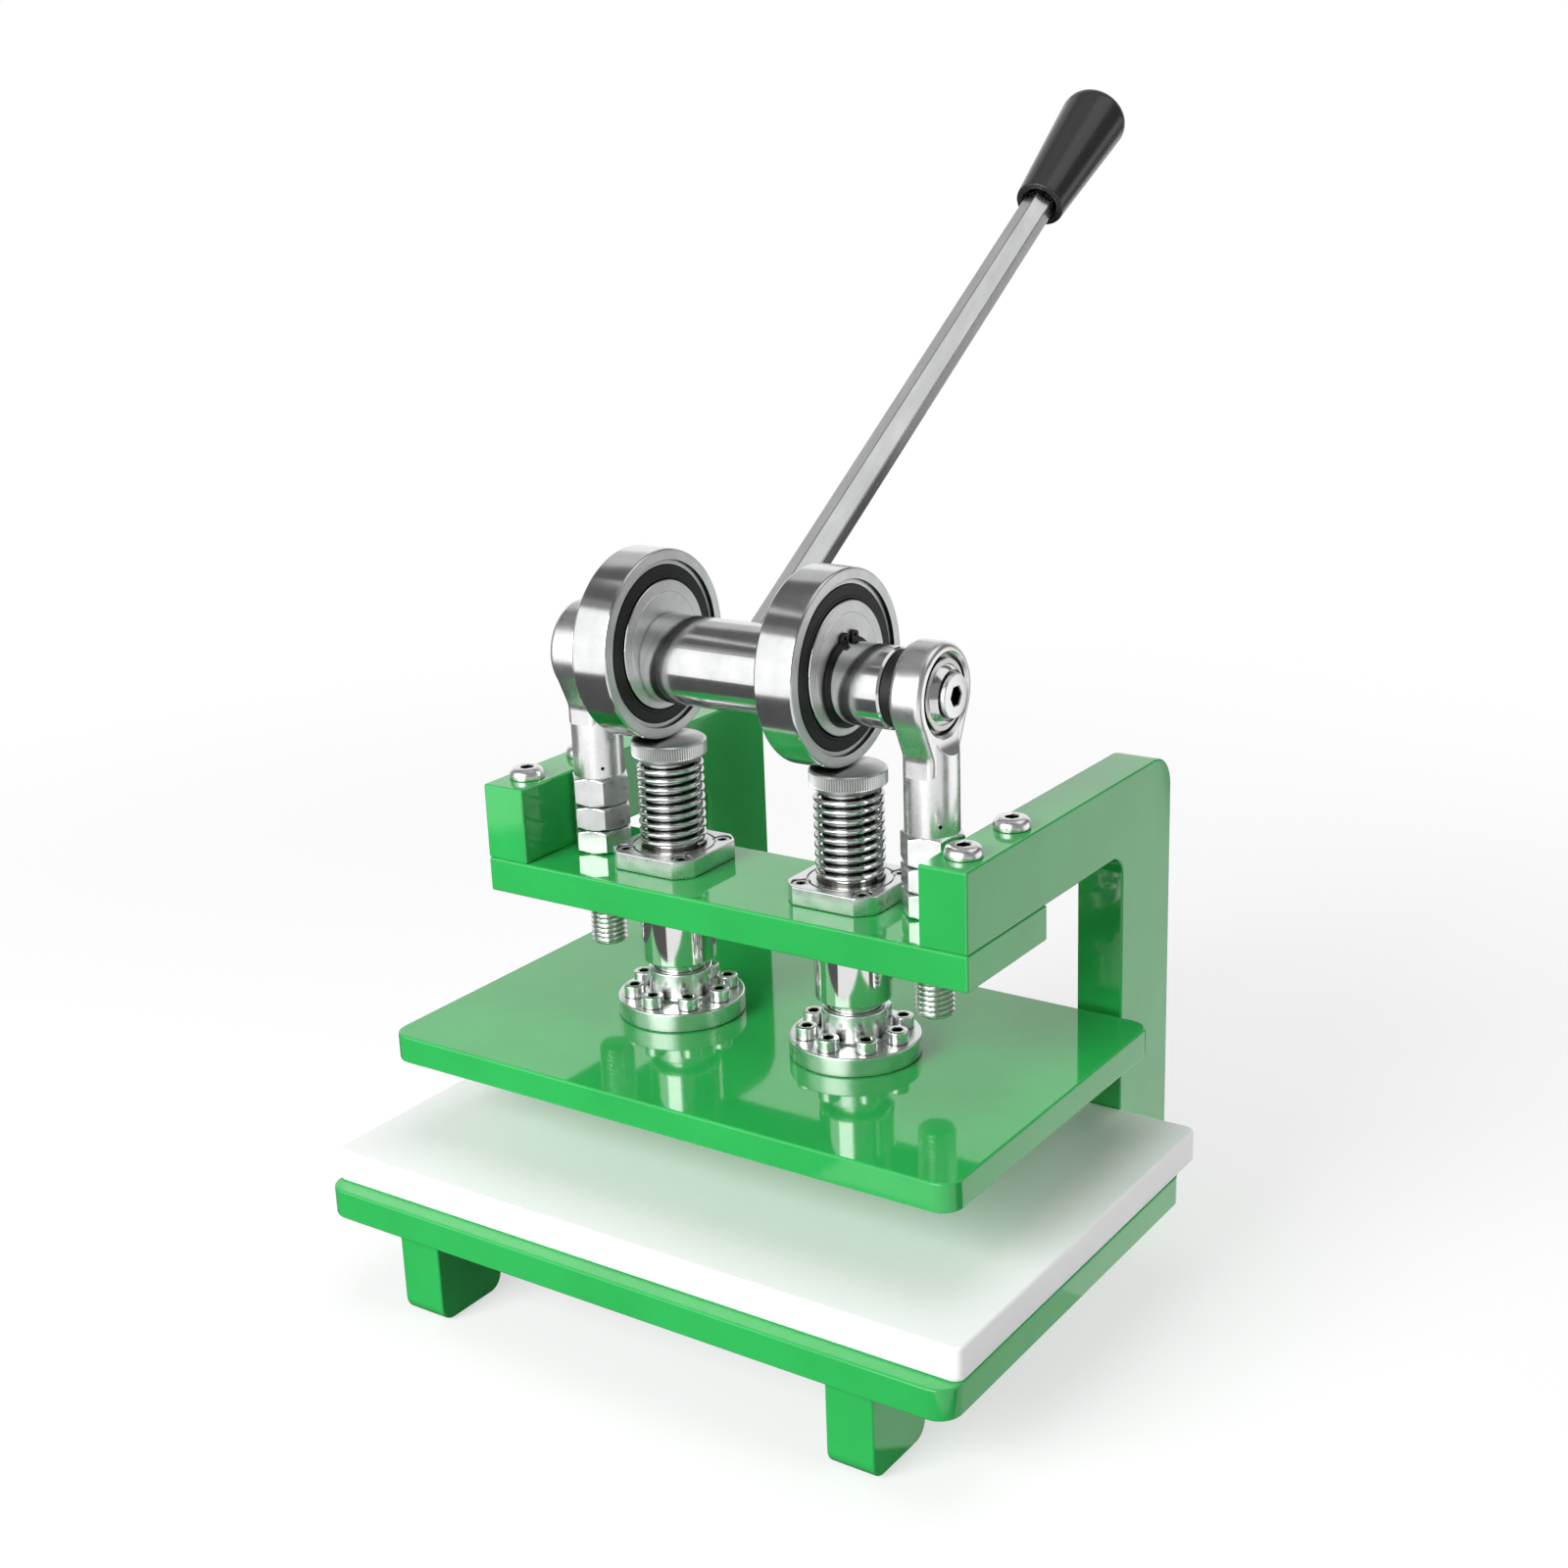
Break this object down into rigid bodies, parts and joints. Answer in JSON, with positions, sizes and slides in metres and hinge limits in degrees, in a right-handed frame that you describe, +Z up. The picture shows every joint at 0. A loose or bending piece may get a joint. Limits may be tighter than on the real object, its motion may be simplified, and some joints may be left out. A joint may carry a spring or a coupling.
{
  "type": "manual die cutting machine",
  "caption": "Bench hand press for cutting dies: a lever turns an eccentric shaft whose rollers push a sprung platen down on guide posts over a cutting board.",
  "frame": {"origin": "on the bench plane, under the middle of the whole machine's box with the lever at rest", "axes": "+X to the operator's right, +Y from the operator to the back, +Z up"},
  "size_m": [0.35, 0.4942, 0.5563],
  "materials": {
    "green_paint": "glossy",
    "white_board": "matt",
    "ground_steel": "ground",
    "plated_steel": "bright plated",
    "screw_steel": "plain",
    "spring_steel": "drawn wire",
    "bearing_bronze": "plain",
    "seal_rubber": "matt",
    "grip_plastic": "glossy"
  },
  "bodies": {
    "frame": {"base_plate": "green_paint", "cutting_board": "white_board", "side_frame_left": "green_paint", "side_frame_right": "green_paint", "cross_beam": "green_paint", "beam_screws": "plated_steel", "base_screws": "screw_steel", "guide_bush_left": "ground_steel", "guide_bush_right": "ground_steel", "guide_liner_left": "bearing_bronze", "guide_liner_right": "bearing_bronze", "bush_screws_left": "screw_steel", "bush_screws_right": "screw_steel", "return_spring_left": "spring_steel", "return_spring_right": "spring_steel", "rod_end_left": "plated_steel", "rod_end_right": "plated_steel", "rod_race_left": "bearing_bronze", "rod_race_right": "bearing_bronze", "rod_stud_left": "plated_steel", "rod_stud_right": "plated_steel", "beam_nut_left": "plated_steel", "beam_nut_right": "plated_steel", "lock_nut_left": "plated_steel", "lock_nut_right": "plated_steel"},
    "crank": {"cam_shaft": "ground_steel", "pivot_ball_left": "ground_steel", "pivot_ball_right": "ground_steel", "shaft_spacer_left": "seal_rubber", "shaft_spacer_right": "seal_rubber", "shaft_end_screws": "plated_steel", "lever_bar": "ground_steel", "lever_grip": "grip_plastic", "inner_ring_left": "ground_steel", "inner_ring_right": "ground_steel"},
    "press": {"platen": "green_paint", "guide_post_left": "ground_steel", "guide_post_right": "ground_steel", "post_cap_left": "plated_steel", "post_cap_right": "plated_steel", "post_hub_left": "plated_steel", "post_hub_right": "plated_steel", "hub_screws_left": "screw_steel", "hub_screws_right": "screw_steel"},
    "left_roller": {"outer_ring_left": "ground_steel", "roller_seals_left": "seal_rubber"},
    "right_roller": {"outer_ring_right": "ground_steel", "roller_seals_right": "seal_rubber"},
    "left_balls": {"bearing_balls_left": "ground_steel", "ball_cage_left": "bearing_bronze"},
    "right_balls": {"bearing_balls_right": "ground_steel", "ball_cage_right": "bearing_bronze"}
  },
  "joints": [
    {"name": "lever_turn", "type": "hinge", "parent": "frame", "child": "crank", "pos_m": [0, -0.11714, 0.3095], "axis": [1, 0, 0], "range_deg": [0, 150]},
    {"name": "platen_press", "type": "slide", "parent": "frame", "child": "press", "axis": [0, 0, -1], "range_m": [0, 0.0114], "stiffness_N_per_m": 3960, "springref_m": -0.03, "deforming": ["return_spring_left", "return_spring_right"]},
    {"name": "left_roller_spin", "type": "hinge", "parent": "crank", "child": "left_roller", "pos_m": [-0.05898, -0.11714, 0.3155], "axis": [1, 0, 0], "continuous": true},
    {"name": "left_balls_orbit", "type": "hinge", "parent": "crank", "child": "left_balls", "pos_m": [-0.05898, -0.11714, 0.3155], "axis": [1, 0, 0], "continuous": true},
    {"name": "right_roller_spin", "type": "hinge", "parent": "crank", "child": "right_roller", "pos_m": [0.04198, -0.11714, 0.3155], "axis": [1, 0, 0], "continuous": true},
    {"name": "right_balls_orbit", "type": "hinge", "parent": "crank", "child": "right_balls", "pos_m": [0.04198, -0.11714, 0.3155], "axis": [1, 0, 0], "continuous": true}
  ],
  "couplings": [
    {"joint": "platen_press", "follows": "lever_turn", "m_per_rad": 0.00435},
    {"joint": "left_balls_orbit", "follows": "left_roller_spin", "ratio": 0.5907},
    {"joint": "right_balls_orbit", "follows": "right_roller_spin", "ratio": 0.5907}
  ]
}
